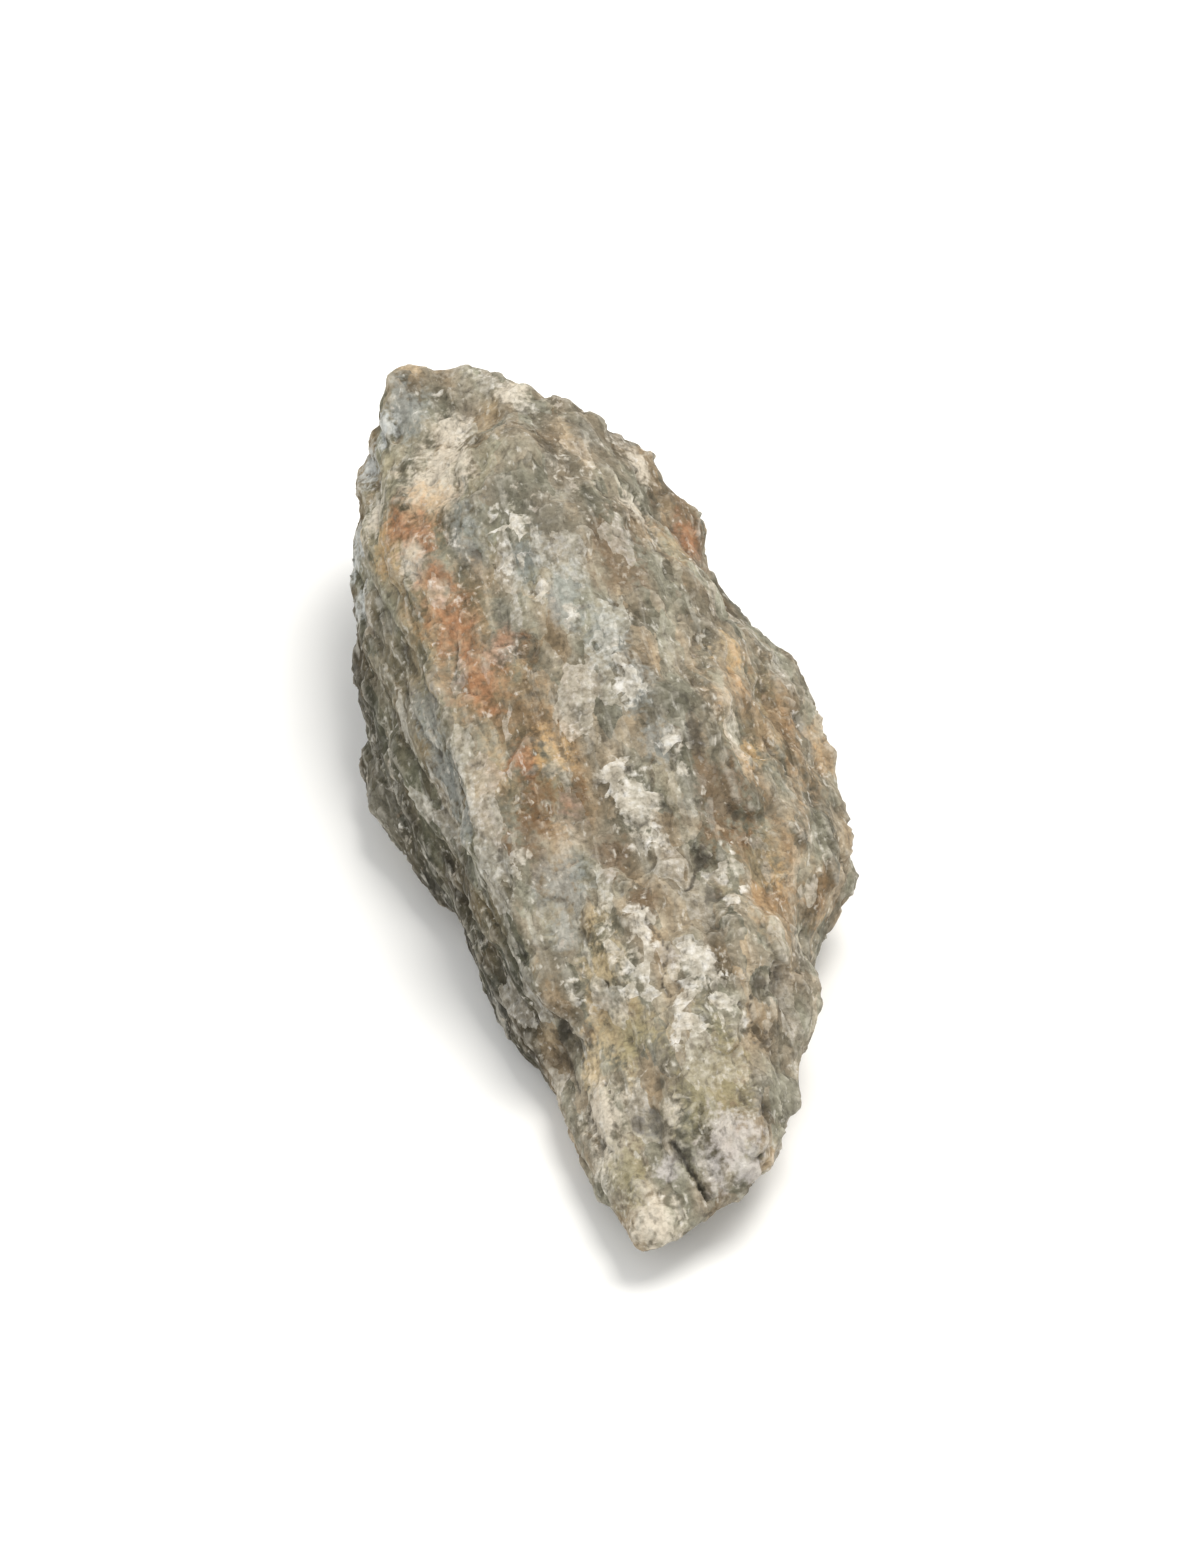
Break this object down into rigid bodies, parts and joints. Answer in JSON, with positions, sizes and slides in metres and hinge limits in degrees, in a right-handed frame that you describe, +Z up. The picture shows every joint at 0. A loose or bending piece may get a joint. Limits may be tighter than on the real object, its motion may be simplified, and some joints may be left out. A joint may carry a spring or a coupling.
{
  "type": "rough rock",
  "caption": "Rough wedge-shaped stone with a flat broken top, a steep layered side wall and a narrow tip, lying on a flat break.",
  "frame": {"origin": "middle of the bounding box, at the bottom, on the surface the stone lies on", "axes": "+Z up from the resting break, -Y along the stone's length towards its narrow tip, +X across, away from the steep layered wall"},
  "size_m": [0.0384, 0.0764, 0.0261],
  "materials": {
    "stone": "rough broken faces, matt with a few glinting grains"
  },
  "bodies": {
    "root": {"rough_rock": "stone"}
  },
  "joints": []
}
